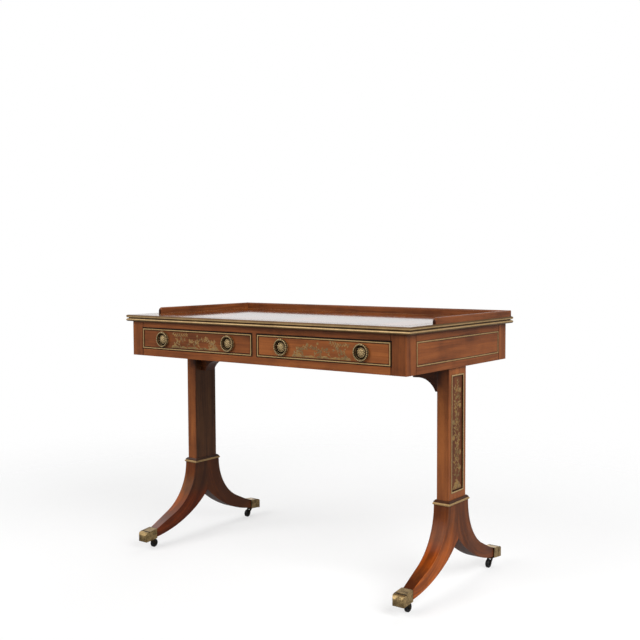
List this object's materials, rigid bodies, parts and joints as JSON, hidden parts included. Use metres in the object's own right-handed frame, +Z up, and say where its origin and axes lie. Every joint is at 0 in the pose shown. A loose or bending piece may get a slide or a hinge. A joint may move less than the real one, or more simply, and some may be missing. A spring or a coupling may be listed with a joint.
{
  "type": "library table",
  "caption": "Writing table on two sabre-legged trestle ends with casters, frieze drawers with ring pulls, a figured top with a brass line and a low gallery",
  "frame": {"origin": "on the floor, under the middle of the top", "axes": "+X along the width to the right as seen from the front, +Y from the front to the back, +Z up"},
  "size_m": [1.067, 0.584, 0.78],
  "materials": {
    "mahogany": "polished",
    "figured_veneer": "high polish",
    "dark_wood": "polished",
    "drawer_wood": "plain, waxed",
    "brass": "aged",
    "steel": "plain",
    "wheel_black": "black"
  },
  "bodies": {
    "table": {"gallery_back": "mahogany", "gallery_sides": "mahogany", "front_posts": "mahogany", "back_posts": "mahogany", "front_top_rail": "mahogany", "front_bottom_rail": "mahogany", "drawer_divider": "mahogany", "left_apron": "mahogany", "right_apron": "mahogany", "back_apron": "mahogany", "left_column": "mahogany", "right_column": "mahogany", "column_brackets": "mahogany", "front_left_leg": "mahogany", "back_left_leg": "mahogany", "front_right_leg": "mahogany", "back_right_leg": "mahogany", "top_border": "mahogany", "top_veneer": "figured_veneer", "column_mouldings": "dark_wood", "top_core": "dark_wood", "side_runners": "drawer_wood", "centre_runner": "drawer_wood", "kickers": "drawer_wood", "drawer_stops": "drawer_wood", "leg_dowels": "drawer_wood", "top_stringing": "brass", "edge_beads": "brass", "apron_stringing": "brass", "column_frames": "brass", "column_collars": "brass", "toe_caps": "brass", "top_screws": "steel"},
    "left_drawer": {"left_drawer_front": "mahogany", "left_drawer_bead": "brass", "left_drawer_sides": "drawer_wood", "left_drawer_back": "drawer_wood", "left_drawer_bottom": "drawer_wood", "left_pull_plates": "brass", "left_pull_bolts": "brass"},
    "left_outer_pull": {"left_outer_ring": "brass"},
    "left_inner_pull": {"left_inner_ring": "brass"},
    "front_left_caster": {"front_left_fork": "brass"},
    "front_left_roller": {"front_left_wheel": "wheel_black"},
    "back_left_caster": {"back_left_fork": "brass"},
    "back_left_roller": {"back_left_wheel": "wheel_black"},
    "right_drawer": {"right_drawer_front": "mahogany", "right_drawer_bead": "brass", "right_drawer_sides": "drawer_wood", "right_drawer_back": "drawer_wood", "right_drawer_bottom": "drawer_wood", "right_pull_plates": "brass", "right_pull_bolts": "brass"},
    "right_outer_pull": {"right_outer_ring": "brass"},
    "right_inner_pull": {"right_inner_ring": "brass"},
    "front_right_caster": {"front_right_fork": "brass"},
    "front_right_roller": {"front_right_wheel": "wheel_black"},
    "back_right_caster": {"back_right_fork": "brass"},
    "back_right_roller": {"back_right_wheel": "wheel_black"}
  },
  "joints": [
    {"name": "left_drawer_slide", "type": "slide", "parent": "table", "child": "left_drawer", "axis": [0, -1, 0], "range_m": [0, 0.34]},
    {"name": "left_outer_pull_swing", "type": "hinge", "parent": "left_drawer", "child": "left_outer_pull", "pos_m": [-0.376, -0.2862, 0.71075], "axis": [-1, 0, 0], "range_deg": [0, 90]},
    {"name": "left_inner_pull_swing", "type": "hinge", "parent": "left_drawer", "child": "left_inner_pull", "pos_m": [-0.102, -0.2862, 0.71075], "axis": [-1, 0, 0], "range_deg": [0, 90]},
    {"name": "front_left_caster_swivel", "type": "hinge", "parent": "table", "child": "front_left_caster", "pos_m": [-0.488, -0.241, 0.029], "axis": [0, 0, 1], "continuous": true},
    {"name": "front_left_wheel_spin", "type": "hinge", "parent": "front_left_caster", "child": "front_left_roller", "pos_m": [-0.488, -0.229, 0.013], "axis": [1, 0, 0], "continuous": true},
    {"name": "back_left_caster_swivel", "type": "hinge", "parent": "table", "child": "back_left_caster", "pos_m": [-0.488, 0.241, 0.029], "axis": [0, 0, 1], "continuous": true},
    {"name": "back_left_wheel_spin", "type": "hinge", "parent": "back_left_caster", "child": "back_left_roller", "pos_m": [-0.488, 0.229, 0.013], "axis": [1, 0, 0], "continuous": true},
    {"name": "right_drawer_slide", "type": "slide", "parent": "table", "child": "right_drawer", "axis": [0, -1, 0], "range_m": [0, 0.34]},
    {"name": "right_outer_pull_swing", "type": "hinge", "parent": "right_drawer", "child": "right_outer_pull", "pos_m": [0.376, -0.2862, 0.71075], "axis": [-1, 0, 0], "range_deg": [0, 90]},
    {"name": "right_inner_pull_swing", "type": "hinge", "parent": "right_drawer", "child": "right_inner_pull", "pos_m": [0.102, -0.2862, 0.71075], "axis": [-1, 0, 0], "range_deg": [0, 90]},
    {"name": "front_right_caster_swivel", "type": "hinge", "parent": "table", "child": "front_right_caster", "pos_m": [0.488, -0.241, 0.029], "axis": [0, 0, 1], "continuous": true},
    {"name": "front_right_wheel_spin", "type": "hinge", "parent": "front_right_caster", "child": "front_right_roller", "pos_m": [0.488, -0.229, 0.013], "axis": [1, 0, 0], "continuous": true},
    {"name": "back_right_caster_swivel", "type": "hinge", "parent": "table", "child": "back_right_caster", "pos_m": [0.488, 0.241, 0.029], "axis": [0, 0, 1], "continuous": true},
    {"name": "back_right_wheel_spin", "type": "hinge", "parent": "back_right_caster", "child": "back_right_roller", "pos_m": [0.488, 0.229, 0.013], "axis": [1, 0, 0], "continuous": true}
  ]
}
